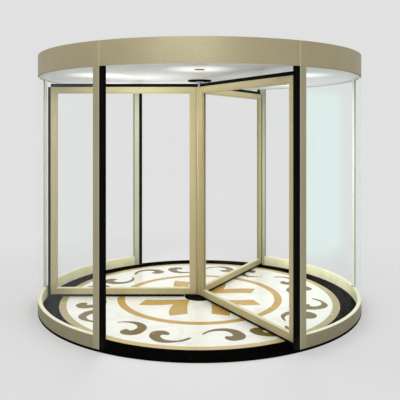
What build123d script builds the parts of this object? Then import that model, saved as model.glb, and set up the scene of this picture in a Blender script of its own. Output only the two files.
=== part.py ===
"""Three-wing revolving door: a glazed drum on an inlaid stone floor, a canopy and a turning rotor.

Millimetres, +Z up, origin at the middle of the underside. The street side faces -Y.
Angles round the drum are counted from the street side, anticlockwise seen from above.
"""
import os
from math import cos, degrees, radians, sin

from build123d import *

# Driving dimensions of the drum
drum_radius = 1600.0
clear_height = 2219.0
canopy_height = 201.0
opening_half_angle = 27.8
wall_depth = 35.0
post_width = 64.0
post_rubber_width = 45.0
rubber_nose_radius = 8.0
rail_height = 103.0
mullion_width = 76.0
mullion_depth = 18.0
pane_thickness = 12.0
pane_groove_depth = 15.0
pane_end_play = 3.0
pane_side_play = 0.5

# Stone floor: a slab with a raised border, and an inlaid veneer inside it
slab_thickness = 17.0
veneer_thickness = 3.0
border_width = 197.0
band_width = 70.0
medallion_ring_width = 74.0
grout_joint = 0.5

# Canopy sheet work
sheet_thickness = 4.0
canopy_lip_width = 50.0
canopy_flange_width = 36.0
roof_thickness = 4.0
seam_half_angle = 29.5
seam_width = 8.0
ceiling_thickness = 18.0
board_edge_play = 2.0

# Downlights in the ceiling
downlight_count = 6
downlight_circle_radius = 1090.0
downlight_hole_radius = 37.0
downlight_play = 0.5
downlight_flange_radius = 44.0
downlight_flange_thickness = 3.0
downlight_flange_width = 11.0
downlight_lens_thickness = 4.0

# Shaft, column and bearings on the turning axis
shaft_radius = 18.0
shaft_head_radius = 40.0
shaft_flare_height = 24.0
shaft_flare_gap = 2.0
shaft_reach_above_ceiling = 70.0
ceiling_hole_radius = 60.0
column_apothem = 37.0
column_sides = 6
bearing_play = 0.3
collar_radius = 121.0
collar_thickness = 14.0
collar_chamfer = 5.0
bearing_plate_radius = 152.0
bearing_plate_thickness = 10.0
bearing_plate_chamfer = 4.0
bearing_neck_radius = 26.0
bearing_neck_height = 14.0
bearing_pocket_depth = 6.0

# Wings of the rotor
wing_names = ("left", "front_right", "rear_right")
first_wing_angle = -90.0
wing_wall_gap = 6.0
wing_floor_gap = 5.0
wing_ceiling_gap = 31.0
wing_side_seal_width = 30.0
wing_top_seal_height = 34.0
wing_bottom_seal_height = 23.0
wing_seal_thickness = 16.0
wing_seal_joint = 1.0
wing_seal_bearing_gap = 8.0
wing_member_width = 66.0
wing_thickness = 40.0
wing_edge_chamfer = 2.0
wing_bead_width = 14.0
wing_bead_thickness = 30.0
wing_glass_thickness = 10.0
wing_groove_depth = 15.0

# One overrun serves all cuts
cut_overrun = 5.0

# Levels and radii that follow
full_turn = 360
half_turn = full_turn / 2
floor_level = slab_thickness + veneer_thickness
ceiling_level = floor_level + clear_height
canopy_top = ceiling_level + canopy_height
ceiling_underside = ceiling_level + sheet_thickness
rail_top = floor_level + rail_height
wall_inner_radius = drum_radius - wall_depth
pane_middle_radius = drum_radius - mullion_depth / 2
border_inner_radius = drum_radius - border_width
field_radius = border_inner_radius - band_width

# Angles that follow from widths along the drum's outer face
rubber_angle = degrees(post_rubber_width / drum_radius)
post_angle = degrees(post_width / drum_radius)
post_start = opening_half_angle + rubber_angle
wall_start = post_start + post_angle
wall_angle = half_turn - 2 * wall_start
groove_angle = degrees(pane_groove_depth / drum_radius)
mullion_angle = degrees(mullion_width / drum_radius)
pane_end_angle = degrees(pane_end_play / drum_radius)
seam_angle = degrees(seam_width / drum_radius)


def radial_plane(angle):
    """The upright plane through the axis: local x runs outwards, local y runs up."""
    turn = radians(angle)
    return Plane(origin=(0, 0, 0), x_dir=(sin(turn), -cos(turn), 0), z_dir=(-cos(turn), -sin(turn), 0))


def radial_box(inner, outer, bottom, top):
    """A rectangle of a radial plane between two radii and two levels."""
    with BuildSketch() as box:
        with Locations(((inner + outer) / 2, (bottom + top) / 2)):
            Rectangle(outer - inner, top - bottom)
    return box.sketch


os.makedirs("parts", exist_ok=True)


def keep(builder, label):
    """Name a finished piece and write it as a file of its own."""
    builder.part.label = label
    export_step(builder.part, f"parts/{label}.step")


# Base slab with its raised stone border
with BuildPart() as base_slab:
    with BuildSketch():
        Circle(drum_radius)
    extrude(amount=slab_thickness)
    with BuildSketch(Plane.XY.offset(slab_thickness)):
        Circle(drum_radius)
        Circle(border_inner_radius + grout_joint, mode=Mode.SUBTRACT)
    extrude(amount=veneer_thickness)
keep(base_slab, "base_slab")

with BuildPart() as band_ring:
    with BuildSketch(Plane.XY.offset(slab_thickness)):
        Circle(border_inner_radius)
        Circle(field_radius + grout_joint, mode=Mode.SUBTRACT)
    extrude(amount=veneer_thickness)
keep(band_ring, "stone_tan_ring")

# Outline of one rosette leaf pair, as shares of the field radius, mirrored about its diagonal
leaf_side_shares = ((0.072, 0.072), (0.240, 0.089), (0.405, 0.082))
leaf_back_shares = ((0.450, 0.206), (0.320, 0.215), (0.192, 0.192))
leaf_pair_count = 4
medallion_ring_share = 0.6


def field_points(shares):
    """Points given as shares of the field radius, in millimetres."""
    return [(across * field_radius, along * field_radius) for across, along in shares]


with BuildSketch() as leaf_pair:
    with BuildLine():
        leaf_side = ThreePointArc(*field_points(leaf_side_shares))
        leaf_back = ThreePointArc(*field_points(leaf_back_shares))
        Line(leaf_side @ 1, leaf_back @ 0)
        mirror(about=Plane((0, 0, 0), x_dir=(1, 1, 0), z_dir=(-1, 1, 0)))
    make_face()

with BuildSketch() as rosette:
    with PolarLocations(0, leaf_pair_count):
        add(leaf_pair.sketch)

medallion_inner = medallion_ring_share * field_radius - medallion_ring_width / 2
medallion_outer = medallion_inner + medallion_ring_width

# Marble field with pockets for the medallion's ring and rosette
with BuildPart() as marble_field:
    with BuildSketch(Plane.XY.offset(slab_thickness)):
        Circle(field_radius)
        Circle(medallion_outer + grout_joint, mode=Mode.SUBTRACT)
    extrude(amount=veneer_thickness)
    with BuildSketch(Plane.XY.offset(slab_thickness)):
        Circle(medallion_inner - grout_joint)
        offset(rosette.sketch, amount=grout_joint, kind=Kind.INTERSECTION, mode=Mode.SUBTRACT)
    extrude(amount=veneer_thickness)
keep(marble_field, "marble_field")

with BuildPart() as medallion_inlays:
    with BuildSketch(Plane.XY.offset(slab_thickness)):
        Circle(medallion_outer)
        Circle(medallion_inner, mode=Mode.SUBTRACT)
        add(rosette.sketch)
    extrude(amount=veneer_thickness)
keep(medallion_inlays, "medallion_inlays")

# Groove that holds the curved panes
groove_inner = pane_middle_radius - pane_thickness / 2 - pane_side_play
groove_outer = pane_middle_radius + pane_thickness / 2 + pane_side_play
groove_floor = rail_top - pane_groove_depth
pane_reach = groove_angle - pane_end_angle
pane_angle = wall_angle / 2 - mullion_angle / 2 + 2 * pane_reach

# Curved walls: a grooved rail, a grooved mullion and two panes on each side
wall_sides = {"right": (half_turn / 2, "front", "rear"), "left": (-half_turn / 2, "rear", "front")}
for side, (wall_middle, first_end, second_end) in wall_sides.items():
    wall_from = wall_middle - wall_angle / 2
    with BuildPart() as bottom_rail:
        with BuildSketch(radial_plane(wall_from)):
            add(radial_box(wall_inner_radius, drum_radius, floor_level, rail_top))
            add(
                radial_box(groove_inner, groove_outer, groove_floor, rail_top + cut_overrun),
                mode=Mode.SUBTRACT,
            )
        revolve(axis=Axis.Z, revolution_arc=wall_angle)
    keep(bottom_rail, f"{side}_bottom_rail")

    with BuildPart() as mullion:
        with BuildSketch(radial_plane(wall_middle - mullion_angle / 2)):
            add(radial_box(drum_radius - mullion_depth, drum_radius, rail_top, ceiling_level))
        revolve(axis=Axis.Z, revolution_arc=mullion_angle)
        for groove_from in (-mullion_angle / 2, mullion_angle / 2 - groove_angle):
            with BuildSketch(radial_plane(wall_middle + groove_from)):
                add(radial_box(groove_inner, groove_outer, rail_top, ceiling_level))
            revolve(axis=Axis.Z, revolution_arc=groove_angle, mode=Mode.SUBTRACT)
    keep(mullion, f"{side}_mullion")

    pane_starts = {
        first_end: wall_from - pane_reach,
        second_end: wall_middle + mullion_angle / 2 - pane_reach,
    }
    for end_name, pane_from in pane_starts.items():
        with BuildPart() as pane:
            with BuildSketch(radial_plane(pane_from)):
                add(
                    radial_box(
                        groove_inner + pane_side_play,
                        groove_outer - pane_side_play,
                        groove_floor,
                        ceiling_level,
                    )
                )
            revolve(axis=Axis.Z, revolution_arc=pane_angle)
        keep(pane, f"{end_name}_{side}_pane")

# Posts beside the two openings: the rubber edge faces the opening, the groove faces the wall
post_places = {
    "front_right": (post_start, 1),
    "rear_right": (half_turn - post_start, -1),
    "rear_left": (half_turn + post_start, 1),
    "front_left": (full_turn - post_start, -1),
}
for corner, (post_edge, way) in post_places.items():
    with BuildPart() as post:
        with BuildSketch(radial_plane(post_edge)):
            add(radial_box(wall_inner_radius, drum_radius, floor_level, ceiling_level))
        revolve(axis=Axis.Z, revolution_arc=way * post_angle)
        with BuildSketch(radial_plane(post_edge + way * (post_angle - groove_angle))):
            add(radial_box(groove_inner, groove_outer, groove_floor, ceiling_level))
        revolve(axis=Axis.Z, revolution_arc=way * groove_angle, mode=Mode.SUBTRACT)
    keep(post, f"{corner}_post")

# Rubber safety edges with a rounded nose towards the opening
with BuildPart() as post_rubbers:
    for post_edge, way in post_places.values():
        with BuildSketch(radial_plane(post_edge)):
            add(radial_box(wall_inner_radius, drum_radius, floor_level, ceiling_level))
        revolve(axis=Axis.Z, revolution_arc=-way * rubber_angle)
    upright_edges = post_rubbers.edges().filter_by(Axis.Z).sort_by(lambda edge: abs(edge.center().X))
    fillet(upright_edges[: len(upright_edges) // 2], rubber_nose_radius)
keep(post_rubbers, "post_rubbers")

# Canopy: a channel of bent sheet round the drum, in four lengths with strips at the joints
skin_inner = drum_radius - sheet_thickness
flange_underside = canopy_top - sheet_thickness
with BuildSketch() as canopy_section:
    add(radial_box(skin_inner, drum_radius, ceiling_level, canopy_top))
    add(radial_box(drum_radius - canopy_lip_width, drum_radius, ceiling_level, ceiling_underside))
    add(radial_box(drum_radius - canopy_flange_width, drum_radius, flange_underside, canopy_top))

seam_middles = (
    -seam_half_angle,
    seam_half_angle,
    half_turn - seam_half_angle,
    half_turn + seam_half_angle,
)
for index, side in enumerate(("front", "right", "rear", "left")):
    fascia_from = seam_middles[index] + seam_angle / 2
    fascia_to = (seam_middles + (full_turn - seam_half_angle,))[index + 1] - seam_angle / 2
    with BuildPart() as fascia:
        with BuildSketch(radial_plane(fascia_from)):
            add(canopy_section.sketch)
        revolve(axis=Axis.Z, revolution_arc=fascia_to - fascia_from)
    keep(fascia, f"canopy_{side}_fascia")

with BuildPart() as seam_strips:
    for seam_middle in seam_middles:
        with BuildSketch(radial_plane(seam_middle - seam_angle / 2)):
            add(canopy_section.sketch)
        revolve(axis=Axis.Z, revolution_arc=seam_angle)
keep(seam_strips, "canopy_seam_strips")

# Roof sheet under the canopy's top flange
with BuildPart() as roof_cover:
    with BuildSketch(Plane.XY.offset(flange_underside)):
        Circle(skin_inner - board_edge_play)
    extrude(amount=-roof_thickness)
keep(roof_cover, "roof_cover")

# Ceiling board on the canopy's lip, with holes for the shaft and the downlights
with BuildPart() as ceiling:
    with BuildSketch(Plane.XY.offset(ceiling_underside)):
        Circle(skin_inner - board_edge_play)
        Circle(ceiling_hole_radius, mode=Mode.SUBTRACT)
        with PolarLocations(downlight_circle_radius, downlight_count, start_angle=-half_turn / 2):
            Circle(downlight_hole_radius, mode=Mode.SUBTRACT)
    extrude(amount=ceiling_thickness)
keep(ceiling, "ceiling")

# Downlights: a trim ring under the ceiling, and a lens in the ceiling's hole that rests on the ring
with BuildPart() as downlight_trims:
    with BuildSketch(Plane.XY.offset(ceiling_underside)):
        with PolarLocations(downlight_circle_radius, downlight_count, start_angle=-half_turn / 2):
            Circle(downlight_flange_radius)
            Circle(downlight_flange_radius - downlight_flange_width, mode=Mode.SUBTRACT)
    extrude(amount=-downlight_flange_thickness)
keep(downlight_trims, "downlight_trims")

with BuildPart() as downlight_lenses:
    with BuildSketch(Plane.XY.offset(ceiling_underside)):
        with PolarLocations(downlight_circle_radius, downlight_count, start_angle=-half_turn / 2):
            Circle(downlight_hole_radius - downlight_play)
    extrude(amount=downlight_lens_thickness)
keep(downlight_lenses, "downlight_lenses")

# Bearings that hold the rotor at the ceiling and carry it on the floor
collar_underside = ceiling_underside - collar_thickness
with BuildPart() as ceiling_collar:
    with BuildSketch(Plane.XY.offset(ceiling_underside)):
        Circle(collar_radius)
        Circle(shaft_head_radius + bearing_play, mode=Mode.SUBTRACT)
    extrude(amount=-collar_thickness)
    chamfer(ceiling_collar.edges().group_by(Axis.Z)[0].sort_by(SortBy.RADIUS)[-1], collar_chamfer)
keep(ceiling_collar, "ceiling_collar")

plate_top = floor_level + bearing_plate_thickness
neck_top = plate_top + bearing_neck_height
pocket_floor = floor_level + bearing_pocket_depth
with BuildPart() as floor_bearing:
    with BuildSketch(Plane.XY.offset(floor_level)):
        Circle(bearing_plate_radius)
    extrude(amount=bearing_plate_thickness)
    chamfer(floor_bearing.edges().group_by(Axis.Z)[-1], bearing_plate_chamfer)
    with BuildSketch(Plane.XY.offset(plate_top)):
        Circle(bearing_neck_radius)
    extrude(amount=bearing_neck_height)
    with BuildSketch(Plane.XY.offset(pocket_floor)):
        Circle(shaft_radius + bearing_play)
    extrude(amount=neck_top - pocket_floor + cut_overrun, mode=Mode.SUBTRACT)
keep(floor_bearing, "floor_bearing")

# Rotor levels and radii
wing_tip_radius = wall_inner_radius - wing_wall_gap
seal_bottom = floor_level + wing_floor_gap
seal_top = ceiling_level - wing_ceiling_gap
frame_bottom = seal_bottom + wing_bottom_seal_height
frame_top = seal_top - wing_top_seal_height
frame_inner = column_apothem
frame_outer = wing_tip_radius - wing_side_seal_width
sight_inner = frame_inner + wing_member_width
sight_outer = frame_outer - wing_member_width
sight_bottom = frame_bottom + wing_member_width
sight_top = frame_top - wing_member_width

# Shaft: slim through the column, flared to a head that runs in the ceiling collar
flare_top = collar_underside - shaft_flare_gap
with BuildPart() as centre_shaft:
    with BuildSketch(Plane.XZ):
        with BuildLine():
            Polyline(
                (0, pocket_floor + bearing_play),
                (shaft_radius, pocket_floor + bearing_play),
                (shaft_radius, flare_top - shaft_flare_height),
                (shaft_head_radius, flare_top),
                (shaft_head_radius, ceiling_underside + shaft_reach_above_ceiling),
                (0, ceiling_underside + shaft_reach_above_ceiling),
                close=True,
            )
        make_face()
    revolve(axis=Axis.Z)
keep(centre_shaft, "centre_shaft")

# Six-sided column with a flat for each wing
with BuildPart() as centre_column:
    with BuildSketch(Plane.XY.offset(frame_bottom)):
        RegularPolygon(
            column_apothem,
            side_count=column_sides,
            major_radius=False,
            rotation=half_turn / column_sides,
        )
        Circle(shaft_radius + bearing_play, mode=Mode.SUBTRACT)
    extrude(amount=frame_top - frame_bottom)
keep(centre_column, "centre_column")

# Corners of a wing frame, outside and at the sight line, for the mitred members
frame_corners = (
    (frame_inner, frame_bottom),
    (frame_outer, frame_bottom),
    (frame_outer, frame_top),
    (frame_inner, frame_top),
)
sight_corners = (
    (sight_inner, sight_bottom),
    (sight_outer, sight_bottom),
    (sight_outer, sight_top),
    (sight_inner, sight_top),
)


def around_sight(margin, end_play=0):
    """The sight opening grown by a margin, less a play at its sides and top."""
    return radial_box(
        sight_inner - margin + end_play,
        sight_outer + margin - end_play,
        sight_bottom - margin,
        sight_top + margin - end_play,
    )


def mitred_members(wing_plane, first_corners, long_axis):
    """Two opposite members of a wing frame: bevelled, stepped down to a bead and grooved for the glass."""
    with BuildPart() as members:
        with BuildSketch(wing_plane):
            for first in first_corners:
                second = (first + 1) % len(frame_corners)
                with BuildLine():
                    Polyline(
                        frame_corners[first],
                        frame_corners[second],
                        sight_corners[second],
                        sight_corners[first],
                        close=True,
                    )
                make_face()
        extrude(amount=wing_thickness / 2, both=True)
        chamfer(members.edges().filter_by(long_axis), wing_edge_chamfer)
        for bead_face in (wing_bead_thickness / 2, -wing_bead_thickness / 2):
            with BuildSketch(wing_plane.offset(bead_face)):
                add(around_sight(wing_bead_width))
            step = (wing_thickness - wing_bead_thickness) / 2 + cut_overrun
            extrude(amount=step if bead_face > 0 else -step, mode=Mode.SUBTRACT)
        with BuildSketch(wing_plane):
            add(around_sight(wing_groove_depth))
        extrude(amount=wing_glass_thickness / 2 + pane_side_play, both=True, mode=Mode.SUBTRACT)
    return members


for index, wing in enumerate(wing_names):
    wing_plane = radial_plane(first_wing_angle + index * full_turn / len(wing_names))
    keep(mitred_members(wing_plane, (0, 2), Axis((0, 0, 0), wing_plane.x_dir)), f"{wing}_wing_rails")
    keep(mitred_members(wing_plane, (1, 3), Axis.Z), f"{wing}_wing_stiles")

    with BuildPart() as wing_glass:
        with BuildSketch(wing_plane):
            add(around_sight(wing_groove_depth, pane_end_play))
        extrude(amount=wing_glass_thickness / 2, both=True)
    keep(wing_glass, f"{wing}_wing_glass")

    seal_inner = bearing_plate_radius + wing_seal_bearing_gap
    with BuildPart() as wing_seals:
        with BuildSketch(wing_plane):
            add(radial_box(frame_outer, wing_tip_radius, seal_bottom, frame_top - wing_seal_joint))
            add(radial_box(frame_inner, frame_outer, frame_top, seal_top))
            add(radial_box(seal_inner, frame_outer - wing_seal_joint, seal_bottom, frame_bottom))
            add(radial_box(frame_inner, seal_inner, plate_top + wing_floor_gap, frame_bottom))
        extrude(amount=wing_seal_thickness / 2, both=True)
    keep(wing_seals, f"{wing}_wing_seals")
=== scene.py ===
# %% [markdown]
# # A three-wing revolving door
#
# A round drum of curved glass stands on an inlaid stone floor. Inside it a rotor of three framed glass
# wings turns on a slim shaft. The solids come from the construction model, already in place and in metres.
# This lesson adds what a solid can't show: the finish of each surface, the brush seals on the wings, the
# cut stone scrolls in the floor, and the small beads, strips and screws.

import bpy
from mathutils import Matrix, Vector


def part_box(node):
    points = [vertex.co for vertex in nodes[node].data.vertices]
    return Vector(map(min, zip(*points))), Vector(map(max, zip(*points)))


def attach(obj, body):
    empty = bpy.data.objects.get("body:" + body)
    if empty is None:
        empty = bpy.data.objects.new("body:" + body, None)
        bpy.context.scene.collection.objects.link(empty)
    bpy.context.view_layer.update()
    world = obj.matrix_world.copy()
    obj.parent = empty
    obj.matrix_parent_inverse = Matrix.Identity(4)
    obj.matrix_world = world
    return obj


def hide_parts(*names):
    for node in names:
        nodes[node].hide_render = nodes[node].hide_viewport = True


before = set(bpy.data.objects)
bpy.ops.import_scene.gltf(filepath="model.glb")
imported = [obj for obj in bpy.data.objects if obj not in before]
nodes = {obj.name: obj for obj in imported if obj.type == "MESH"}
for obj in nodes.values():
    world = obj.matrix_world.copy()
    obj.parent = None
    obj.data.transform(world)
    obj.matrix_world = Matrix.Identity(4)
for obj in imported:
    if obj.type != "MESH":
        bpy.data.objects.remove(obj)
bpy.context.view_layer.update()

# %% [markdown]
# ## Levels and radii
#
# Every added piece sits on a solid, so the few sizes it needs are read from the solids themselves. Typing
# them in again would work too, but a reading stays right if the construction model changes.

# %% Read the sizes that the added pieces need
import math
import random

import bmesh
import bpy
from mathutils import Matrix, Vector

drum_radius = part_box("base_slab")[1].x
floor_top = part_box("marble_field")[1].z
field_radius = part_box("marble_field")[1].x
ceiling_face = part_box("ceiling")[0].z
print(f"drum radius {drum_radius:.3f} m, floor at {floor_top:.3f} m, ceiling at {ceiling_face:.3f} m")

# %% [markdown]
# ## Camera
#
# The photograph is taken level, at standing eye height, straight in front of the street opening. The drum's
# circles fix the distance: the nearer the camera, the more the floor's ellipse opens. The horizon lies above
# the middle of the picture, so the lens is shifted down and the uprights stay upright.

# %% Set up the camera
camera_data = bpy.data.cameras.new("street_camera")
camera_data.sensor_width = 36.0
camera_data.lens = 50.78
camera_data.shift_x = 0.001
camera_data.shift_y = -0.1805
camera = bpy.data.objects.new("street_camera", camera_data)
camera.location = (0.0, -5.806, 1.755)
camera.rotation_euler = (math.radians(90), 0.0, 0.0)
bpy.context.scene.collection.objects.link(camera)
bpy.context.scene.camera = camera
bpy.context.scene.view_settings.view_transform = "Standard"
print("camera", [round(v, 3) for v in camera.location], "lens", camera_data.lens)

# %% [markdown]
# ## Small helpers for nodes
#
# A material is a chain of nodes. One helper places a node and another fills its inputs with numbers or with
# the outputs of other nodes, so a finish reads like a recipe. A third one turns a colour seen on a screen
# into the linear numbers that a shader works with.


# %% Node helpers
def seen(red, green, blue):
    """A colour as a screen shows it, 0 to 255, as linear numbers for a socket."""
    shares = [level / 255 for level in (red, green, blue)]
    return (*[s / 12.92 if s <= 0.04045 else ((s + 0.055) / 1.055) ** 2.4 for s in shares], 1.0)


def fill(tree, node, inputs):
    """Fills a node's inputs with values or with other nodes' outputs."""
    for name, value in inputs.items():
        if isinstance(value, bpy.types.NodeSocket):
            tree.links.new(value, node.inputs[name])
        else:
            node.inputs[name].default_value = value


def place(tree, kind, inputs=None, **settings):
    """Adds a node, sets its options and fills its inputs."""
    node = tree.nodes.new(kind)
    for name, value in settings.items():
        setattr(node, name, value)
    fill(tree, node, inputs or {})
    return node


def reckon(tree, operation, first, second=0.0):
    """One sum on two numbers or outputs."""
    return place(tree, "ShaderNodeMath", {0: first, 1: second}, operation=operation).outputs[0]


def span(tree, value, low, high, start=0.0, end=1.0):
    """Maps a value from low..high to start..end, smoothly and without running past the ends."""
    inputs = {"Value": value, "From Min": low, "From Max": high, "To Min": start, "To Max": end}
    return place(tree, "ShaderNodeMapRange", inputs, interpolation_type="SMOOTHSTEP").outputs[0]


def between(tree, share, first, second):
    """A colour between two colours."""
    return place(tree, "ShaderNodeMix", {0: share, 6: first, 7: second}, data_type="RGBA").outputs[2]


def noise(tree, spot, scale, detail):
    """A cloudy pattern from 0 to 1 with lumps of about 1 / scale metres."""
    return place(tree, "ShaderNodeTexNoise", {"Vector": spot, "Scale": scale, "Detail": detail}).outputs[0]


def cells(tree, spot, scale):
    """A chance number from 0 to 1 for each cell of about 1 / scale metres."""
    colour = place(tree, "ShaderNodeTexVoronoi", {"Vector": spot, "Scale": scale}).outputs["Color"]
    return place(tree, "ShaderNodeSeparateColor", {0: colour}).outputs[0]


def axes_of(tree, spot):
    """The X, Y and Z of a place."""
    return place(tree, "ShaderNodeSeparateXYZ", {0: spot}).outputs


def flat_length(tree, first, second):
    """The length of a flat vector from its two parts."""
    flat = place(tree, "ShaderNodeCombineXYZ", {"X": first, "Y": second}).outputs[0]
    return place(tree, "ShaderNodeVectorMath", {0: flat}, operation="LENGTH").outputs["Value"]


print("node helpers ready; mid grey is", [round(v, 3) for v in seen(128, 128, 128)[:3]])

# %% [markdown]
# ## Shared effects
#
# The drum is round, so the grain of its metal follows it round. The first effect turns a place on the object
# into a length around the drum, a distance out from the axis and a height. A texture on those three numbers
# bends with the wall, where a plain one would run straight through it.
#
# The second effect is the grain itself. Anodised aluminium is drawn or brushed before it is dipped, which
# leaves fine lines along the bar. The acid bath then breaks them up into a fine sparkle. The third effect is
# the dust and scuffing that a floor leaves on whatever stands on it.


# %% Node group for the place on the drum
def effect(name, inputs, outputs):
    """An empty node group with named number or vector sockets."""
    group = bpy.data.node_groups.new(name, "ShaderNodeTree")
    for label, kind in inputs:
        group.interface.new_socket(label, in_out="INPUT", socket_type="NodeSocket" + kind)
    for label in outputs:
        group.interface.new_socket(label, in_out="OUTPUT", socket_type="NodeSocketFloat")
    return group, group.nodes.new("NodeGroupInput").outputs, group.nodes.new("NodeGroupOutput").inputs


round_place, given, out = effect("round_place", [("Vector", "Vector")], ["Around", "Outward", "Height"])
axes = axes_of(round_place, given["Vector"])
bearing = reckon(round_place, "ARCTAN2", axes["Y"], axes["X"])
round_place.links.new(reckon(round_place, "MULTIPLY", bearing, drum_radius), out["Around"])
round_place.links.new(flat_length(round_place, axes["X"], axes["Y"]), out["Outward"])
round_place.links.new(axes["Z"], out["Height"])
print("effect:", round_place.name)

# %% Node groups for grain and dust
lines_along, lines_across = 4.0, 900.0
streak_share, sparkle_share, cloud_share = 0.3, 0.5, 0.2
dust_height = 0.13

drawn_grain, given, out = effect(
    "drawn_grain", [("Along", "Float"), ("Across", "Float"), ("Through", "Float")], ["Shade", "Relief"]
)
lines = place(drawn_grain, "ShaderNodeCombineXYZ", {
    "X": reckon(drawn_grain, "MULTIPLY", given["Along"], lines_along),
    "Y": reckon(drawn_grain, "MULTIPLY", given["Across"], lines_across),
    "Z": reckon(drawn_grain, "MULTIPLY", given["Through"], lines_across),
}).outputs[0]
spots = place(drawn_grain, "ShaderNodeCombineXYZ", {
    "X": given["Along"], "Y": given["Across"], "Z": given["Through"],
}).outputs[0]
streak = reckon(drawn_grain, "MULTIPLY", noise(drawn_grain, lines, 1.0, 2.0), streak_share)
sparkle = reckon(drawn_grain, "MULTIPLY", noise(drawn_grain, spots, 110.0, 4.0), sparkle_share)
cloud = reckon(drawn_grain, "MULTIPLY", noise(drawn_grain, spots, 2.2, 2.0), cloud_share)
fine = reckon(drawn_grain, "ADD", streak, sparkle)
drawn_grain.links.new(span(drawn_grain, reckon(drawn_grain, "ADD", fine, cloud), 0.32, 0.68), out["Shade"])
drawn_grain.links.new(fine, out["Relief"])

floor_dust, given, out = effect("floor_dust", [("Vector", "Vector"), ("Height", "Float")], ["Dust"])
reach = span(floor_dust, given["Height"], floor_top, floor_top + dust_height, 1.0, 0.0)
patch = span(floor_dust, noise(floor_dust, given["Vector"], 9.0, 5.0), 0.35, 0.7)
floor_dust.links.new(reckon(floor_dust, "MULTIPLY", reach, patch), out["Dust"])
print("effects:", [group.name for group in bpy.data.node_groups])

# %% [markdown]
# ## Champagne aluminium
#
# Posts, rails, wing frames and the canopy are one finish: aluminium anodised to a pale champagne gold, satin
# to the touch. It could be one material, but the grain runs along each bar, up a post and round a canopy
# sheet. So one recipe is mixed several times, with the grain turned and the tone moved a little. Some tones
# carry painted light and shade: the drum's foot rails are painted darker outside, a painted shade, and the
# mullions paler, painted light. On posts, rails and mullions the side towards the axis is painted paler, as
# painted light from the lamps inside, and the wings' foot rails carry a painted highlight along their top.
# On the canopy's lip the paler side is the ceiling's white paint.


# %% The recipe for aluminium
def start(name):
    """A new material, its nodes, its shader and the place on the object."""
    material = bpy.data.materials.new(name)
    material.use_nodes = True
    tree = material.node_tree
    return material, tree, tree.nodes["Principled BSDF"], place(tree, "ShaderNodeTexCoord").outputs["Object"]


def use_effect(tree, group, **inputs):
    """Places an effect in a material, links its inputs and gives its outputs."""
    return place(tree, "ShaderNodeGroup", inputs, node_tree=group).outputs


def emboss(tree, shader, height, strength, depth):
    """Raises a fine relief on a shader."""
    bump = place(tree, "ShaderNodeBump", {"Height": height, "Strength": strength, "Distance": depth})
    tree.links.new(bump.outputs[0], shader.inputs["Normal"])


tone_step, ledge_step = 0.002, 0.001
dust_tint, dust_dulling = 0.25, 0.2


def aluminium(name, grain, dark, light, rough=(0.42, 0.54), metal=0.35, shine=0.5, inner=None, lit_ledge=None):
    """Satin anodised aluminium, its grain along one of the three round directions.

    A tone for the side towards the axis, with its depth from the drum's face, paints that side paler and
    takes
    its metal away: painted light from the lamps inside on posts, rails and mullions, the ceiling's paint on
    the canopy's lip. A tone and two levels paint a pale band of heights, a painted highlight.
    """
    material, tree, shader, spot = start(name)
    where = use_effect(tree, round_place, Vector=spot)
    across, through = [way for way in ("Height", "Around", "Outward") if way != grain]
    lines = use_effect(tree, drawn_grain, Along=where[grain], Across=where[across], Through=where[through])
    dust = use_effect(tree, floor_dust, Vector=spot, Height=where["Height"])["Dust"]
    clean = between(tree, lines["Shade"], dark, light)
    bare = metal
    # On posts, rails and mullions this paler side is painted light from the lamps inside; on the canopy's lip
    # it is the ceiling's white paint.
    if inner:
        tone, depth = inner
        edge = drum_radius - depth
        inside = span(tree, where["Outward"], edge, edge + tone_step, 1.0, 0.0)
        clean = between(tree, inside, clean, tone)
        bare = reckon(tree, "MULTIPLY", reckon(tree, "SUBTRACT", 1.0, inside), metal)
    # Painted highlight: a pale band between two heights, where a top face would catch the lamps above.
    if lit_ledge:
        tone, low, high = lit_ledge
        rising = span(tree, where["Height"], low - ledge_step, low + ledge_step)
        falling = span(tree, where["Height"], high, high + ledge_step, 1.0, 0.0)
        clean = between(tree, reckon(tree, "MULTIPLY", rising, falling), clean, tone)
    gloss = span(tree, lines["Shade"], 0.0, 1.0, rough[1], rough[0])
    fill(tree, shader, {
        "Base Color": between(tree, reckon(tree, "MULTIPLY", dust, dust_tint), clean, seen(150, 142, 122)),
        "Roughness": reckon(tree, "ADD", gloss, reckon(tree, "MULTIPLY", dust, dust_dulling)),
        "Specular IOR Level": shine,
        "Metallic": bare,
    })
    emboss(tree, shader, lines["Relief"], 0.12, 0.0004)
    return material


print("the recipe takes a grain direction, two tones, a gloss range and a share of bare metal")

# %% Mix the aluminium finishes
waist_height = 1.0
rail_levels = sorted({round(corner.co.z, 4) for corner in nodes["left_wing_rails"].data.vertices})
foot_levels = [level for level in rail_levels if level < waist_height]
ledge_height = 0.008
# Painted highlight: a pale band along the top of the wings' foot rails.
wing_lit_ledge = (seen(248, 243, 206), foot_levels[-1] - ledge_height, foot_levels[-1])
wing_tones = seen(182, 170, 128), seen(200, 188, 146)
sheet_inside = (seen(220, 222, 218), 0.010)
bar_depth, mullion_depth = 0.034, 0.0165

canopy_sheet = aluminium("canopy_sheet", "Around", seen(155, 144, 112), seen(177, 167, 134),
                         inner=sheet_inside)
# The paler tones towards the axis on posts, rails and mullions are painted light from the lamps inside.
post_metal = aluminium("post_metal", "Height", seen(150, 143, 112), seen(166, 160, 130),
                       inner=(seen(196, 199, 174), bar_depth))
# The rails' darker outer tone is painted shade near the floor.
rail_metal = aluminium("rail_metal", "Around", seen(132, 125, 98), seen(152, 144, 116), metal=0.15, shine=0.2,
                       inner=(seen(252, 248, 206), bar_depth))
# The mullions' pale outer tone is painted light.
mullion_metal = aluminium("mullion_metal", "Height", seen(226, 221, 190), seen(238, 233, 204), metal=0.1,
                          inner=(seen(250, 252, 246), mullion_depth))
strip_metal = aluminium("strip_metal", "Height", seen(176, 169, 142), seen(190, 183, 156))
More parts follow.
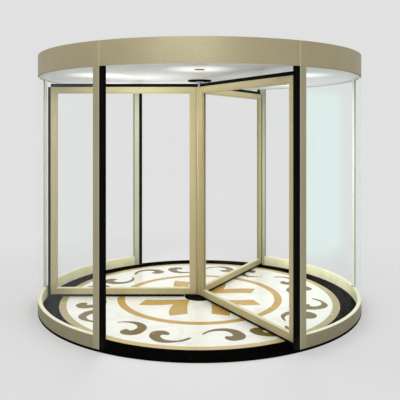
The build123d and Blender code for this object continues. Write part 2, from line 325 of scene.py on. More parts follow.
# The column joints' dark tone is painted shade beside each wing's stile.
joint_shade_metal = aluminium("joint_shade_metal", "Height", seen(150, 137, 100), seen(166, 153, 116))
glint_metal = aluminium("glint_metal", "Height", seen(192, 178, 134), seen(206, 193, 150), (0.24, 0.32), 0.1)
bead_metal = aluminium("bead_metal", "Around", seen(246, 242, 206), seen(252, 249, 222), metal=0.0)
wing_upright = aluminium("wing_upright", "Height", *wing_tones)
wing_crossbar = aluminium("wing_crossbar", "Outward", *wing_tones, lit_ledge=wing_lit_ledge)
seam_metal = aluminium("seam_metal", "Height", seen(184, 176, 144), seen(200, 192, 160), inner=sheet_inside)
shaft_metal = aluminium("shaft_metal", "Around", seen(176, 174, 184), seen(204, 202, 210), (0.3, 0.4), 0.5)
trim_grey = aluminium("trim_grey", "Around", seen(52, 52, 50), seen(78, 78, 75))
cover_metal = aluminium("cover_metal", "Outward", seen(206, 206, 203), seen(222, 222, 219), (0.5, 0.6))
print("wing foot rails have levels at", foot_levels)
print("metal finishes:", len(bpy.data.materials))

# %% [markdown]
# ## Stone
#
# The floor is cut stone: black granite round the rim, a tan band, white marble, and golden and brown stone
# for the ornament. Granite shows small crystals, which a cell texture gives. Marble shows soft grey veins,
# which come from noise bent by more noise. The black rim is honed rather than polished, so it stays deep
# black where a polished one would mirror the ceiling. The tan band is painted darker along the walls, a
# painted shade, and stays bright at the two openings.


# %% The recipes for stone
def granite(name, ground, crystal, crystal_size, rough, shine, film=None):
    """Stone with small crystals of a second colour and a slow drift. A film colour paints it darker by the
    walls, a painted shade.
    """
    material, tree, shader, spot = start(name)
    pick = cells(tree, spot, 1 / crystal_size)
    drift = noise(tree, spot, 7.0, 6.0)
    share = reckon(tree, "MULTIPLY", span(tree, pick, 0.35, 1.0), span(tree, drift, 0.25, 0.75, 0.35, 1.0))
    colour = between(tree, share, ground, crystal)
    # Painted shade: the colour turns darker away from the middle along X, towards the walls.
    if film:
        sideways = reckon(tree, "ABSOLUTE", axes_of(tree, spot)["X"])
        colour = between(tree, span(tree, sideways, 0.7, 1.15, 0.0, 0.5), colour, film)
    fill(tree, shader, {
        "Base Color": colour,
        "Roughness": span(tree, drift, 0.3, 0.7, rough, rough + 0.08),
        "Specular IOR Level": shine,
    })
    emboss(tree, shader, pick, 0.03, 0.0003)
    return material


def marble(name, ground, vein):
    """Polished white marble with faint grey veins."""
    material, tree, shader, spot = start(name)
    bend = place(tree, "ShaderNodeTexNoise", {"Vector": spot, "Scale": 1.6, "Detail": 6.0}).outputs["Color"]
    bent = place(tree, "ShaderNodeMix", {0: 0.35, 4: spot, 5: bend}, data_type="VECTOR").outputs[1]
    crest = reckon(tree, "ABSOLUTE", reckon(tree, "SUBTRACT", noise(tree, bent, 3.4, 8.0), 0.5))
    haze = noise(tree, spot, 4.5, 4.0)
    veined = span(tree, crest, 0.0, 0.05, 0.5, 0.0)
    share = reckon(tree, "ADD", veined, span(tree, haze, 0.3, 0.75, 0.0, 0.22))
    fill(tree, shader, {
        "Base Color": between(tree, share, ground, vein),
        "Roughness": span(tree, haze, 0.3, 0.7, 0.16, 0.26),
        "Specular IOR Level": 0.3,
    })
    emboss(tree, shader, haze, 0.04, 0.0005)
    return material


print("two stone recipes ready")

# %% Mix the stone finishes
stone_black = granite("stone_black", seen(4, 4, 3), seen(20, 20, 18), 0.004, 0.4, 0.0)
# The tan band's film colour is painted shade by the walls.
stone_tan = granite("stone_tan", seen(206, 184, 130), seen(228, 209, 158), 0.005, 0.2, 0.2,
                    film=seen(136, 130, 94))
stone_gold = granite("stone_gold", seen(192, 154, 78), seen(212, 180, 106), 0.005, 0.2, 0.2)
stone_brown = granite("stone_brown", seen(114, 94, 46), seen(138, 117, 66), 0.005, 0.2, 0.2)
marble_white = marble("marble_white", seen(249, 249, 240), seen(232, 232, 226))
print("stone finishes:", [m.name for m in bpy.data.materials if "stone" in m.name or "marble" in m.name])

# %% [markdown]
# ## Glass
#
# The walls are curved glass and the wings are flat, all nearly clear. A glass shader also blocks the lamps'
# straight paths, which would leave the inside dark, so rays on their way to a lamp pass the pane as if it
# were clear film. A full bend would shift every line behind the curved edge, which thin safety glass hardly
# does. So the body of the pane bends light only a little, and a coat over it gives the faint mirror of a real
# pane, a little cloudy where hands have touched it, and fading where the pane turns edge-on. The panes beside
# the street opening also carry a faint glow painted into them, a painted reflection of a bright room: a grey
# veil on the left, and on the right a mint one that is strongest by the post. It could come from a tint, but
# a tint would colour the floor behind it too.


# %% Mix the glass
def pane_glass(name, tint, sheen=None, deep=(), low=(), high=()):
    """Clear glass that lets lamp light pass. A sheen, a painted reflection that glows on the pane, fades out
    over a stretch of depth and of heights.
    """
    material, tree, shader, spot = start(name)
    cloudy = span(tree, noise(tree, spot, 5.0, 6.0), 0.35, 0.75, 0.25, 0.1)
    edge_on = place(tree, "ShaderNodeLayerWeight", {"Blend": 0.5}).outputs["Facing"]
    fill(tree, shader, {
        "Base Color": tint,
        "Transmission Weight": 1.0,
        "Roughness": 0.0,
        "IOR": 1.01,
        "Coat Weight": reckon(tree, "MULTIPLY", cloudy, span(tree, edge_on, 0.45, 0.8, 1.0, 0.0)),
        "Coat Roughness": 0.1,
    })
    # Painted reflection: the sheen glows on the pane as emission.
    if sheen:
        axes = axes_of(tree, spot)
        tall = reckon(tree, "MULTIPLY", span(tree, axes["Z"], *low), span(tree, axes["Z"], *high, 1.0, 0.0))
        share = reckon(tree, "MULTIPLY", tall, span(tree, axes["Y"], *deep, 1.0, 0.0))
        glimmer = between(tree, share, (0, 0, 0, 1), sheen)
        fill(tree, shader, {"Emission Color": glimmer, "Emission Strength": 1.0})
    film = place(tree, "ShaderNodeBsdfTransparent", {"Color": tint})
    path = place(tree, "ShaderNodeLightPath").outputs["Is Shadow Ray"]
    choice = place(tree, "ShaderNodeMixShader", {0: path, 1: shader.outputs[0], 2: film.outputs[0]})
    tree.links.new(choice.outputs[0], tree.nodes["Material Output"].inputs["Surface"])
    return material


wall_sheen = pane_glass("wall_sheen", (0.965, 0.995, 0.985, 1.0), (0.012, 0.05, 0.043, 1.0),
                        deep=(-1.16, -0.9), low=(0.62, 0.8), high=(2.0, 2.1))
wall_painted_veil = pane_glass("wall_painted_veil", (0.97, 0.972, 0.97, 1.0), (0.012, 0.0135, 0.0145, 1.0),
                       deep=(-0.5, -0.4), low=(0.0, 0.1), high=(2.2, 2.3))
wall_clear = pane_glass("wall_clear", (0.99, 0.998, 0.995, 1.0))
wing_clear = pane_glass("wing_clear", (0.995, 0.998, 0.997, 1.0))
print("glass finishes:", [m.name for m in (wall_sheen, wall_painted_veil, wall_clear, wing_clear)])

# %% [markdown]
# ## Black parts
#
# The safety edges on the posts are soft rubber, drawn through a die, so they carry faint lines from top to
# bottom and go grey with dust at the foot. The bearing plate and the ceiling collar are powder coated, which
# leaves a fine dimpled skin. The brushes are matt nylon.


# %% Mix the black finishes
def black_finish(name, deep, worn, grain, rough, relief_scale, shine, dustiness=0.1):
    """A black surface with fine relief and a little dust near the floor."""
    material, tree, shader, spot = start(name)
    where = use_effect(tree, round_place, Vector=spot)
    dust = use_effect(tree, floor_dust, Vector=spot, Height=where["Height"])["Dust"]
    stretch = place(tree, "ShaderNodeMapping", {"Vector": spot, "Scale": grain}).outputs[0]
    skin = noise(tree, stretch, relief_scale, 3.0)
    shade = between(tree, span(tree, skin, 0.3, 0.7), deep, worn)
    fill(tree, shader, {
        "Base Color": between(tree, reckon(tree, "MULTIPLY", dust, dustiness), shade, seen(80, 76, 68)),
        "Roughness": span(tree, skin, 0.3, 0.7, rough, rough + 0.15),
        "Specular IOR Level": shine,
    })
    emboss(tree, shader, skin, 0.2, 0.0006)
    return material


rubber_black = black_finish("rubber_black", seen(4, 4, 3), seen(13, 12, 10), (1, 1, 0.02), 0.6, 220.0, 0.03)
coat_black = black_finish("coat_black", seen(5, 5, 5), seen(13, 13, 13), (1, 1, 1), 0.5, 320.0, 0.02, 0.02)
brush_black = black_finish("brush_black", seen(8, 8, 7), seen(26, 26, 24), (1, 1, 1), 0.6, 500.0, 0.05, 0.03)
print("black finishes:", [m.name for m in bpy.data.materials if m.name.endswith("_black")])

# %% [markdown]
# ## Ceiling
#
# The ceiling is a satin panel, and each of its six downlights throws a soft white glow on it. A lamp for each
# glow would also light the wings from odd sides. The glow is instead painted by distance: the angle round the
# axis is folded into one sixth of a turn, so one distance serves all six lamps. Between the glows a faint
# light stays, which stands in for what the white floor throws back. The lamps' circle is read from the
# lenses' box, which is wider along Y, where a lamp lies on the axis, than along X. Outside the glows the
# ceiling is painted darker towards the street, a painted shade. A lens lies behind a deep baffle, so it is
# bright from below and dark from the side.

# %% Find the distance to the nearest downlight
lamp_count = 6
lens_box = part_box("downlight_lenses")[1]
lamp_circle = (lens_box.y - lens_box.x) / (1 - math.cos(math.pi / lamp_count))


def lamp_distance(tree, spot):
    """The distance to the nearest downlight's middle, in metres."""
    axes = axes_of(tree, spot)
    bearing = reckon(tree, "ARCTAN2", axes["Y"], axes["X"])
    slice_angle = 2 * math.pi / lamp_count
    turned = reckon(tree, "ADD", bearing, math.pi / 2 + slice_angle / 2 + 2 * math.pi)
    folded = reckon(tree, "SUBTRACT", reckon(tree, "MODULO", turned, slice_angle), slice_angle / 2)
    outward = flat_length(tree, axes["X"], axes["Y"])
    ahead = reckon(tree, "MULTIPLY", outward, reckon(tree, "COSINE", folded))
    aside = reckon(tree, "MULTIPLY", outward, reckon(tree, "SINE", folded))
    return flat_length(tree, reckon(tree, "SUBTRACT", ahead, lamp_circle), aside)


print(f"{lamp_count} downlights on a circle of {lamp_circle:.3f} m")

# %% Mix the ceiling, lens and roof finishes
ceiling_white, tree, shader, spot = start("ceiling_white")
glow = span(tree, lamp_distance(tree, spot), 0.04, 0.36, 1.0, 0.0)
tone = noise(tree, spot, 1.7, 3.0)
paint = between(tree, span(tree, tone, 0.3, 0.7), seen(226, 229, 228), seen(234, 237, 236))
# Painted shade: the ceiling turns darker towards the street, outside the glows.
painted_street_shade = span(tree, axes_of(tree, spot)["Y"], -1.6, 0.2, 1.0, 0.0)
shaded_share = reckon(tree, "MULTIPLY", painted_street_shade, reckon(tree, "SUBTRACT", 1.0, glow))
fill(tree, shader, {
    "Base Color": between(tree, shaded_share, paint, seen(186, 189, 190)),
    "Roughness": span(tree, tone, 0.3, 0.7, 0.3, 0.38),
    "Emission Color": between(tree, glow, (0.11, 0.114, 0.114, 1), (1.0, 0.99, 0.97, 1)),
    "Emission Strength": 0.54,
})
emboss(tree, shader, noise(tree, spot, 240.0, 2.0), 0.04, 0.0004)

lamp_lens, tree, shader, spot = start("lamp_lens")
ripple = place(tree, "ShaderNodeTexVoronoi", {"Vector": spot, "Scale": 240.0}).outputs["Distance"]
crest = span(tree, ripple, 0.1, 0.7)
lit = between(tree, crest, (1.0, 0.97, 0.9, 1), (0.6, 0.58, 0.54, 1))
from_side = span(tree, place(tree, "ShaderNodeLayerWeight", {"Blend": 0.5}).outputs["Facing"], 0.3, 0.75)
fill(tree, shader, {
    "Base Color": between(tree, crest, seen(120, 118, 112), seen(96, 94, 88)),
    "Roughness": 0.35,
    "Emission Color": between(tree, from_side, lit, (0.05, 0.05, 0.045, 1)),
    "Emission Strength": 0.9,
})
emboss(tree, shader, ripple, 0.3, 0.001)

roof_grey, tree, shader, spot = start("roof_grey")
leaf = cells(tree, spot, 38.0)
film = noise(tree, spot, 2.4, 7.0)
sheet = between(tree, leaf, seen(176, 177, 174), seen(196, 197, 194))
fill(tree, shader, {
    "Base Color": between(tree, span(tree, film, 0.45, 0.75, 0.0, 0.5), sheet, seen(150, 147, 138)),
    "Roughness": span(tree, film, 0.4, 0.75, 0.62, 0.8),
    "Metallic": 0.15,
    "Specular IOR Level": 0.2,
})
emboss(tree, shader, leaf, 0.05, 0.0005)
print("ceiling, lens and roof finishes ready")

# %% [markdown]
# ## Dress the solids
#
# The solids keep their shape and place. Each only takes its finish, by the node's name or by the end of it.

# %% Give every solid its finish
finish_of = {
    "base_slab": stone_black,
    "stone_tan_ring": stone_tan,
    "marble_field": marble_white,
    "medallion_inlays": stone_gold,
    "post_rubbers": rubber_black,
    "canopy_seam_strips": seam_metal,
    "roof_cover": roof_grey,
    "ceiling": ceiling_white,
    "downlight_trims": trim_grey,
    "downlight_lenses": lamp_lens,
    "ceiling_collar": coat_black,
    "floor_bearing": coat_black,
    "centre_shaft": shaft_metal,
    "centre_column": wing_upright,
    "front_right_pane": wall_sheen,
    "front_left_pane": wall_painted_veil,
}
finish_by_ending = {
    "_fascia": canopy_sheet,
    "_bottom_rail": rail_metal,
    "_mullion": mullion_metal,
    "_post": post_metal,
    "_pane": wall_clear,
    "_wing_glass": wing_clear,
    "_wing_rails": wing_crossbar,
    "_wing_stiles": wing_upright,
    "_wing_seals": brush_black,
}
for name, solid in nodes.items():
    ending = [finish for tail, finish in finish_by_ending.items() if name.endswith(tail)]
    solid.data.materials.clear()
    solid.data.materials.append(finish_of[name] if name in finish_of else ending[0])
print("dressed", len(nodes), "solids")

# %% [markdown]
# ## Stone scrolls in the floor
#
# Eight pairs of leaf scrolls run round the marble, cut from brown stone and let in flush. In each pair one
# scroll opens to the middle of the floor and its partner to the rim. A filled curve is the natural way to
# draw them: a handful of points gives each smooth outline, and only the tail's two points stay sharp. The
# curve becomes a mesh, a hair proud of the marble.


# %% Draw the two scrolls
def finish_piece(name, mesh, finish, body):
    """Turns a finished mesh into a piece on a body."""
    piece = bpy.data.objects.new(name, mesh)
    bpy.context.scene.collection.objects.link(piece)
    mesh.materials.clear()
    mesh.materials.append(finish)
    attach(piece, body)
    return piece


def lay_piece(name, shape, finish, body):
    """Turns a drawn shape into a piece on a body, and lets the drawing go."""
    mesh = bpy.data.meshes.new(name)
    shape.to_mesh(mesh)
    shape.free()
    return finish_piece(name, mesh, finish, body)


# Outward and around, as shares of the field's radius, from the middle of a pair
inward_scroll = (
    (-0.090, -0.290), (-0.130, -0.222), (-0.136, -0.150), (-0.094, -0.074), (-0.012, -0.043),
    (0.070, -0.062), (0.096, -0.126), (0.070, -0.178), (0.020, -0.182), (0.005, -0.166),
    (0.017, -0.130), (-0.012, -0.115), (-0.066, -0.126), (-0.096, -0.168), (-0.102, -0.228),
    (-0.076, -0.284),
)
outward_scroll = (
    (-0.014, 0.284), (0.035, 0.272), (0.092, 0.220), (0.126, 0.135), (0.084, 0.046),
    (0.020, 0.011), (-0.026, 0.014), (-0.056, 0.050), (-0.056, 0.092), (-0.038, 0.118),
    (-0.006, 0.129), (0.002, 0.108), (0.014, 0.089), (0.058, 0.114), (0.075, 0.155),
    (0.058, 0.218), (-0.016, 0.268),
)
scroll_pairs = 8
scroll_circle = 0.828 * field_radius
scroll_depth = 0.0006

scroll_curve = bpy.data.curves.new("scroll_outline", "CURVE")
scroll_curve.dimensions = "2D"
scroll_curve.fill_mode = "BOTH"
scroll_curve.extrude = scroll_depth / 2
scroll_curve.resolution_u = 6
for pair in range(scroll_pairs):
    turn = Matrix.Rotation(2 * math.pi * (pair + 0.5) / scroll_pairs, 4, "Z")
    for scroll in (inward_scroll, outward_scroll):
        spline = scroll_curve.splines.new("BEZIER")
        spline.bezier_points.add(len(scroll) - 1)
        spline.use_cyclic_u = True
        for index, (outward, around) in enumerate(scroll):
            point = spline.bezier_points[index]
            point.co = turn @ Vector((outward * field_radius + scroll_circle, around * field_radius, 0.0))
            kind = "VECTOR" if index in (0, len(scroll) - 1) else "AUTO"
            point.handle_left_type = point.handle_right_type = kind
print("scrolls drawn:", len(scroll_curve.splines))

# %% Cut and lay the scrolls
outline = bpy.data.objects.new("scroll_outline", scroll_curve)
bpy.context.scene.collection.objects.link(outline)
bpy.context.view_layer.update()
scroll_mesh = bpy.data.meshes.new_from_object(outline.evaluated_get(bpy.context.evaluated_depsgraph_get()))
bpy.data.objects.remove(outline)
scroll_mesh.transform(Matrix.Translation((0.0, 0.0, floor_top)))
finish_piece("scroll_inlays", scroll_mesh, stone_brown, "drum")
print("scrolls laid with", len(scroll_mesh.polygons), "faces")

# %% [markdown]
# ## Brush seals
#
# Each wing is edged with brush strip against draughts: a slim black channel with tufts of nylon standing in
# it. One solid bar would be quicker, but a brush has a broken edge that shows from near by. A tuft is a small
# five-sided cone, leant a little at random, and the same wing of brushes is turned round for the others.


# %% Helpers for a channel and its tufts
def add_bar(mesh, low, high, edge):
    """A bar between two corners with its edges taken off."""
    made = bmesh.ops.create_cube(mesh, size=1.0)["verts"]
    bmesh.ops.scale(mesh, vec=[h - l for l, h in zip(low, high)], verts=made)
    bmesh.ops.translate(mesh, vec=[(h + l) / 2 for l, h in zip(low, high)], verts=made)
    edges = list({side for corner in made for side in corner.link_edges})
    bmesh.ops.bevel(mesh, geom=edges, offset=edge, affect="EDGES", segments=1, profile=0.5, material=-1)


tuft_radius = 0.0036
tuft_pitch = 0.0056
tuft_lean = math.radians(3.0)
tuft_taper = 0.75


def add_tufts(mesh, first, last, outwards, length, chance):
    """A double row of tufts from first to last that stand along outwards."""
    run = last - first
    count = max(1, int(run.length / tuft_pitch))
    side = outwards.cross(run).normalized()
    upright = Vector((0.0, 0.0, 1.0)).rotation_difference(outwards).to_matrix().to_4x4()
    for row in (-1, 1):
        for index in range(count):
            share = (index + 0.5 + row * 0.25) / count
            foot = first + run * share + side * (row * tuft_radius)
            lean = Matrix.Rotation(chance.uniform(-tuft_lean, tuft_lean), 4, run.normalized())
            seat = Matrix.Translation(foot) @ lean @ upright @ Matrix.Translation((0, 0, length / 2))
            bmesh.ops.create_cone(mesh, cap_ends=True, segments=5, radius1=tuft_radius,
                                  radius2=tuft_radius * tuft_taper, depth=length, matrix=seat)


print(f"tufts every {tuft_pitch * 1000:.1f} mm")

# %% [markdown]
# The strips follow the wing's solid seals: one up the outer stile, one along the top and one along the foot,
# which steps up over the bearing plate. The top one runs on over the column as far as the shaft, so no light
# shows between them. On the stile and the foot the channel is nearly as thick as the wing, and so closes the
# frame's edge. They are made on a wing that points along +X.

# %% Make the brushes of one wing
seal_low, seal_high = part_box("left_wing_seals")
frame_low, frame_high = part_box("left_wing_stiles")
plate_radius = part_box("floor_bearing")[1].x
plate_thickness, plate_gap, shaft_gap = 0.010, 0.008, 0.0005
channel_depth, channel_edge = 0.010, 0.0015
carrier_depth, carrier_setback = 0.020, 0.001
strip_joint, tuft_seat, tip_gap = 0.001, 0.002, 0.0025

brush_half = (seal_high.y - seal_low.y) / 2
carrier_half = (frame_high.y - frame_low.y) / 2 - carrier_setback
tip_radius, inner_end = -seal_low.x, -seal_high.x
top_end = min(corner.co.xy.length for corner in nodes["centre_shaft"].data.vertices) + shaft_gap
stile_edge = -frame_low.x
plate_edge = plate_radius + plate_gap
plate_top = floor_top + plate_thickness

brush = bmesh.new()
chance = random.Random(7)
add_bar(brush, (stile_edge, -carrier_half, seal_low.z),
        (stile_edge + carrier_depth, carrier_half, frame_high.z), channel_edge)
root = stile_edge + carrier_depth - tuft_seat
add_tufts(brush, Vector((root, 0, seal_low.z)), Vector((root, 0, frame_high.z)), Vector((1, 0, 0)),
          tip_radius - root, chance)
add_bar(brush, (top_end, -brush_half, frame_high.z),
        (stile_edge, brush_half, frame_high.z + channel_depth), channel_edge)
root = frame_high.z + channel_depth - tuft_seat
add_tufts(brush, Vector((top_end, 0, root)), Vector((stile_edge, 0, root)), Vector((0, 0, 1)),
          seal_high.z - root, chance)
root = frame_low.z - channel_depth + tuft_seat
for start_at, end_at, foot_level in ((inner_end, plate_edge, plate_top + tip_gap),
                                     (plate_edge, stile_edge - strip_joint, floor_top + tip_gap)):
    add_bar(brush, (start_at, -carrier_half, frame_low.z - channel_depth),
            (end_at, carrier_half, frame_low.z), channel_edge)
    add_tufts(brush, Vector((start_at, 0, root)), Vector((end_at, 0, root)), Vector((0, 0, -1)),
              root - foot_level, chance)
bmesh.ops.recalc_face_normals(brush, faces=brush.faces)
print("one wing of brushes:", len(brush.faces), "faces, from", round(top_end, 4), "m out")

# %% [markdown]
# Each wing gets a copy of the brushes, turned about the axis to where its solid stands.

# %% Put the brushes on the three wings
wing_bearings = {"left": 180.0, "front_right": -60.0, "rear_right": 60.0}
for wing, bearing in wing_bearings.items():
    brush_mesh = bpy.data.meshes.new(f"{wing}_wing_brushes")
    brush.to_mesh(brush_mesh)
    brush_mesh.transform(Matrix.Rotation(math.radians(bearing), 4, "Z"))
    piece = finish_piece(f"{wing}_wing_brushes", brush_mesh, brush_black, "rotor")
    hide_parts(f"{wing}_wing_seals")
brush.free()
print("brushes on", len(wing_bearings), "wings")

# %% [markdown]
# ## Glazing beads on the rails
#
# The panes stand in a groove of the bottom rail, and a pale bead closes the groove and grips the foot of the
# glass. On the real door it is a snap-in strip, bent round the drum. A spin makes it in one go: the strip's
# section is drawn once as a small face and swept about the axis.


# %% A helper that sweeps a section about the axis
def add_swept(mesh, section, start_angle, sweep, steps):
    """Sweeps a closed section of (radius, height) points about the axis into a closed bar."""
    corners = [mesh.verts.new((radius, 0.0, height)) for radius, height in section]
    face = mesh.faces.new(corners)
    bmesh.ops.rotate(mesh, cent=(0, 0, 0), matrix=Matrix.Rotation(start_angle, 3, "Z"), verts=corners)
    bmesh.ops.spin(mesh, geom=[face, *face.edges, *corners], cent=(0, 0, 0), axis=(0, 0, 1),
                   angle=sweep, steps=steps, use_merge=False, use_duplicate=False)


sweep_step = math.radians(0.5)


def swept_piece(name, sections, finish):
    """A piece on the drum from sections that are swept from one angle to another."""
    shape = bmesh.new()
    for section, first, last in sections:
        add_swept(shape, section, first, last - first, max(1, round((last - first) / sweep_step)))
    bmesh.ops.recalc_face_normals(shape, faces=shape.faces)
    return lay_piece(name, shape, finish, "drum")


print("sweeps take a step for every", round(math.degrees(sweep_step), 2), "degrees")

# %% Sweep the glazing beads
rail_low, rail_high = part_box("right_bottom_rail")
rail_top = rail_high.z
wall_reach = math.asin(rail_high.y / drum_radius)
rail_inner = rail_low.x / math.cos(wall_reach)
mullion_reach = math.asin(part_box("right_mullion")[1].y / drum_radius)
bead_height = 0.004
bead_lip = 0.002
bead_shoulder = 0.018

bead = ((rail_inner, rail_top), (drum_radius, rail_top), (drum_radius, rail_top + bead_height),
        (drum_radius - bead_shoulder, rail_top + bead_height), (rail_inner, rail_top + bead_lip))
bead_runs = []
for middle in (0.0, math.pi):
    for first, last in ((-wall_reach, -mullion_reach), (mullion_reach, wall_reach)):
        bead_runs.append((bead, middle + first, middle + last))
beads = swept_piece("glazing_beads", bead_runs, bead_metal)
print("glazing beads:", len(bead_runs), "runs,", len(beads.data.polygons), "faces")

# %% [markdown]
# ## Strips that hold the safety edges
#
# Each rubber edge is clipped to its post under a slim bright strip that runs from floor to canopy. It is the
# same sweep with a short turn, and it stands a little proud of the post.

# %% Sweep the four strips
post_low, post_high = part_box("front_right_post")
rubber_side = math.asin(post_low.x / rail_inner)
strip_width = 0.009
strip_height = 0.0016
strip_turn = strip_width / drum_radius
strip_section = ((drum_radius - strip_height, post_low.z), (drum_radius + strip_height, post_low.z),
                 (drum_radius + strip_height, post_high.z), (drum_radius - strip_height, post_high.z))
strip_runs = []
for street in (-math.pi / 2, math.pi / 2):
    strip_runs.append((strip_section, street + rubber_side, street + rubber_side + strip_turn))
    strip_runs.append((strip_section, street - rubber_side - strip_turn, street - rubber_side))
swept_piece("post_edge_strips", strip_runs, strip_metal)
print("edge strips:", len(strip_runs), "at", round(math.degrees(rubber_side), 2), "degrees from the street")

# %% [markdown]
# ## Joints on the column
#
# A slim bronze strip covers the joint between each wing's inner stile and the column. Its dark tone is
# painted shade, the shade that falls beside each stile. It is a bar that lies on the column's free flat,
# along the corner next to the stile.

# %% Lay the three joint strips
column_flat = -frame_high.x
corner = Vector((column_flat, column_flat * math.tan(math.pi / 6), 0.0))
along_flat = Vector((-math.cos(math.pi / 6), math.sin(math.pi / 6), 0.0))
joint_width, joint_depth = 0.009, 0.0016
joint_length = frame_high.z - frame_low.z
joint_middle = corner + along_flat * (joint_width / 2) + Vector((0, 0, (frame_high.z + frame_low.z) / 2))
joints = bmesh.new()
for bearing in wing_bearings.values():
    seat = Matrix.Rotation(math.radians(bearing), 4, "Z") @ Matrix.Translation(joint_middle)
    seat = seat @ Matrix.Rotation(math.radians(150), 4, "Z")
    seat = seat @ Matrix.Diagonal((joint_width, joint_depth, joint_length, 1.0))
    bmesh.ops.create_cube(joints, size=1.0, matrix=seat)
piece = lay_piece("column_joints", joints, joint_shade_metal, "rotor")
print("column joints:", len(piece.data.polygons), "faces")

# %% [markdown]
# A half-round bead runs up the middle of each free flat and hides the screws that hold the column together.
# It is polished a little brighter than the frame, so it carries a thin light line. A rod sunk to half its
# thickness gives the same shape as a half-round with less work.

# %% Sink the three beads
rod_radius = 0.007
rods = bmesh.new()
for bearing in wing_bearings.values():
    seat = Matrix.Rotation(math.radians(bearing + 60), 4, "Z")
    seat = seat @ Matrix.Translation((column_flat, 0.0, joint_middle.z))
    bmesh.ops.create_cone(rods, cap_ends=True, segments=16, radius1=rod_radius, radius2=rod_radius,
                          depth=joint_length, matrix=seat)
for face in rods.faces:
    face.smooth = len(face.verts) == 4
piece = lay_piece("column_beads", rods, glint_metal, "rotor")
print("column beads:", len(piece.data.polygons), "faces")

# %% [markdown]
# ## Screws
#
# Countersunk screws hold the bearing plate to the floor and the collar to the ceiling. A screw head is a
# short cylinder with its rim taken off and a socket sunk into its face. An inset draws the socket and an
# extrusion sinks it. On the plate the heads are almost flush, because the wings' brushes pass close above.

# %% Sizes of a screw head, as shares of its radius and height
screw_face = 0.86
socket_rim = 0.42
socket_depth = 1.2


def add_screw(mesh, radius, height, seat):
    """A screw head whose face points along the seat's +Z."""
    made = bmesh.ops.create_cone(mesh, cap_ends=True, segments=12, radius1=radius,
                                 radius2=radius * screw_face, depth=2 * height, matrix=seat)["verts"]
    upwards = seat.to_3x3() @ Vector((0, 0, 1))
    faces = {face for corner in made for face in corner.link_faces}
    top = max(faces, key=lambda face: face.calc_center_median().dot(upwards))
    bmesh.ops.inset_region(mesh, faces=[top], thickness=radius * socket_rim)
    sunk = bmesh.ops.extrude_discrete_faces(mesh, faces=[top])["faces"]
    corners = list({corner for face in sunk for corner in face.verts})
    bmesh.ops.translate(mesh, vec=-upwards * height * socket_depth, verts=corners)


print("a screw's face is", screw_face, "of its width")

# %% Set the screws
screw_count = 6
plate_screw_circle = plate_radius * 0.78
collar_low, collar_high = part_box("ceiling_collar")
collar_screw_circle = collar_high.x * 0.72
plate_screw_radius, plate_screw_height = 0.008, 0.0007
collar_screw_radius, collar_screw_height = 0.006, 0.0016
face_down = Matrix.Rotation(math.pi, 4, "X")
screws = bmesh.new()
for index in range(screw_count):
    turn = Matrix.Rotation(2 * math.pi * (index + 0.5) / screw_count, 4, "Z")
    add_screw(screws, plate_screw_radius, plate_screw_height,
              turn @ Matrix.Translation((plate_screw_circle, 0, plate_top)))
    add_screw(screws, collar_screw_radius, collar_screw_height,
              turn @ Matrix.Translation((collar_screw_circle, 0, collar_low.z)) @ face_down)
bmesh.ops.recalc_face_normals(screws, faces=screws.faces)
piece = lay_piece("bearing_screws", screws, trim_grey, "drum")
print("screws:", 2 * screw_count, "with", len(piece.data.polygons), "faces")

# %% [markdown]
# ## Roof joints
#
# From above, the dust cover is three widths of sheet. Two flat strips close the joints, held by a row of
# rivets on each edge. They stay below the canopy's top flange.

# %% Lay the roof strips and rivets
roof_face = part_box("roof_cover")[1].z
flange_width, flange_gap = 0.036, 0.01
cover_offset = drum_radius / 3
cover_half_width, cover_height = 0.030, 0.0016
flange_inner = drum_radius - flange_width
cover_half_length = math.sqrt(flange_inner ** 2 - (cover_offset + cover_half_width) ** 2) - flange_gap
rivet_pitch, rivet_radius, rivet_height = 0.15, 0.005, 0.0012
rivet_level = roof_face + cover_height + rivet_height / 2
rivet_row = 0.6 * cover_half_width
rivet_taper = 0.5
roof = bmesh.new()
for side in (-1, 1):
    middle = side * cover_offset
    add_bar(roof, (middle - cover_half_width, -cover_half_length, roof_face - cover_height / 2),
            (middle + cover_half_width, cover_half_length, roof_face + cover_height), cover_height / 4)
    rivets = int(2 * cover_half_length / rivet_pitch)
    for index in range(rivets):
        along = (index - (rivets - 1) / 2) * rivet_pitch
        for edge in (-1, 1):
            seat = Matrix.Translation((middle + edge * rivet_row, along, rivet_level))
            bmesh.ops.create_cone(roof, cap_ends=True, segments=10, radius1=rivet_radius,
                                  radius2=rivet_radius * rivet_taper, depth=rivet_height, matrix=seat)
piece = lay_piece("roof_joints", roof, cover_metal, "drum")
print("roof joints with", len(piece.data.polygons), "faces")

# %% [markdown]
# ## Floor, light and background
#
# The object stands on a plain pale floor under soft light, with a big panel in front and above, a weaker one
# behind, and a round one under the ceiling for the downlights. Three small lamps inside, one between each two
# wings, stand in for the light that bounces about a white floor and ceiling. Two slim strips do the same for
# the inner side of the right-hand rail and for the post behind the rear right wing. Far from the object the
# floor fades into the same pale grey that the camera sees behind it, so no horizon shows.

# %% Lay the floor
background = seen(225, 225, 225)
floor_radius = 40.0
floor_mesh = bmesh.new()
bmesh.ops.create_circle(floor_mesh, cap_ends=True, segments=96, radius=floor_radius)
floor_data = bpy.data.meshes.new("studio_floor")
floor_mesh.to_mesh(floor_data)
floor_mesh.free()
floor_piece = bpy.data.objects.new("studio_floor", floor_data)
bpy.context.scene.collection.objects.link(floor_piece)


def shown_rays(tree):
    """1 for rays that show a surface to the camera, straight or by way of metal and glass."""
    rays = place(tree, "ShaderNodeLightPath").outputs
    shown = reckon(tree, "MAXIMUM", rays["Is Camera Ray"], rays["Is Glossy Ray"])
    return reckon(tree, "MAXIMUM", shown, rays["Is Transmission Ray"])


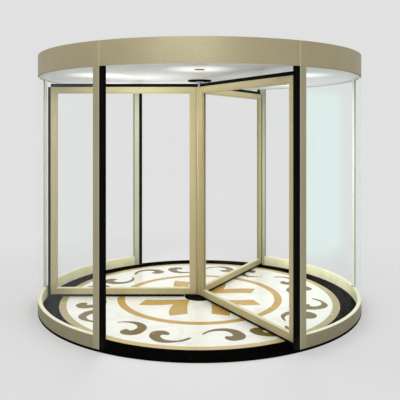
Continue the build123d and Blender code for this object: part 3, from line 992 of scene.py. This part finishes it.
studio_floor, tree, shader, spot = start("studio_floor")
fill(tree, shader, {"Base Color": seen(232, 232, 232), "Roughness": 0.9, "Specular IOR Level": 0.1})
far = place(tree, "ShaderNodeVectorMath", {0: spot}, operation="LENGTH").outputs["Value"]
# Near the object four tenths of what the camera sees is still the plain grey, which paints the object's
# shadow on the floor lighter.
share = reckon(tree, "MULTIPLY", shown_rays(tree), span(tree, far, 1.6, 4.0, 0.4, 1.0))
plain = place(tree, "ShaderNodeEmission", {"Color": background, "Strength": 1.0})
blend = place(tree, "ShaderNodeMixShader", {0: share, 1: shader.outputs[0], 2: plain.outputs[0]})
tree.links.new(blend.outputs[0], tree.nodes["Material Output"].inputs["Surface"])
floor_data.materials.append(studio_floor)
print("floor of", floor_radius, "m radius")

# %% Set the background
world = bpy.data.worlds.new("studio")
bpy.context.scene.world = world
world.use_nodes = True
tree = world.node_tree
ambient = place(tree, "ShaderNodeBackground", {"Color": (0.55, 0.55, 0.55, 1.0), "Strength": 1.0})
backdrop = place(tree, "ShaderNodeBackground", {"Color": background, "Strength": 1.0})
sky = place(tree, "ShaderNodeMixShader", {0: shown_rays(tree), 1: ambient.outputs[0], 2: backdrop.outputs[0]})
tree.links.new(sky.outputs[0], tree.nodes["World Output"].inputs["Surface"])
print("background", [round(v, 3) for v in background[:3]])


# %% Hang the lights
def hang(name, data, spot, mirrored):
    """Puts a lamp at a spot, out of sight of the camera and of glass. Only a mirrored one shows in metal."""
    lamp = bpy.data.objects.new(name, data)
    lamp.location = spot
    bpy.context.scene.collection.objects.link(lamp)
    lamp.visible_camera = False
    lamp.visible_transmission = False
    lamp.visible_glossy = mirrored
    return lamp


def panel_light(name, spot, aim, size, power, shape="RECTANGLE", mirrored=False):
    """A soft light panel that faces a point."""
    data = bpy.data.lights.new(name, "AREA")
    data.shape = shape
    data.size, data.size_y = size
    data.energy = power
    lamp = hang(name, data, spot, mirrored)
    lamp.rotation_euler = (Vector(aim) - Vector(spot)).to_track_quat("-Z", "Y").to_euler()


panel_light("front_panel", (-1.0, -8.0, 5.0), (0, 0, 1.2), (5.0, 3.0), 260.0, mirrored=True)
panel_light("rear_panel", (2.0, 7.0, 5.0), (0, 0, 1.2), (5.0, 3.0), 160.0, mirrored=True)
panel_light("inside_panel", (0, 0, ceiling_face - 0.02), (0, 0, 0), (2.6, 2.6), 18.0, "DISK")
panel_light("rail_strip", (1.16, 0.54, 0.12), (1.45, 0.675, 0.12), (1.0, 0.1), 0.55)
panel_light("post_strip", (0.82, 0.95, 1.15), (0.8, 1.4, 1.15), (0.1, 1.8), 1.2)

compartment_lamps = {
    "front_left_lamp": ((-0.55, -0.34, 1.86), 7.5),
    "rear_left_lamp": ((-0.38, 0.65, 1.85), 5.0),
    "right_lamp": ((0.93, 0.58, 1.25), 6.5),
}
for name, (spot, power) in compartment_lamps.items():
    data = bpy.data.lights.new(name, "POINT")
    data.energy = power
    data.shadow_soft_size = 0.2
    hang(name, data, spot, mirrored=False)
print("lights:", len(bpy.data.lights))
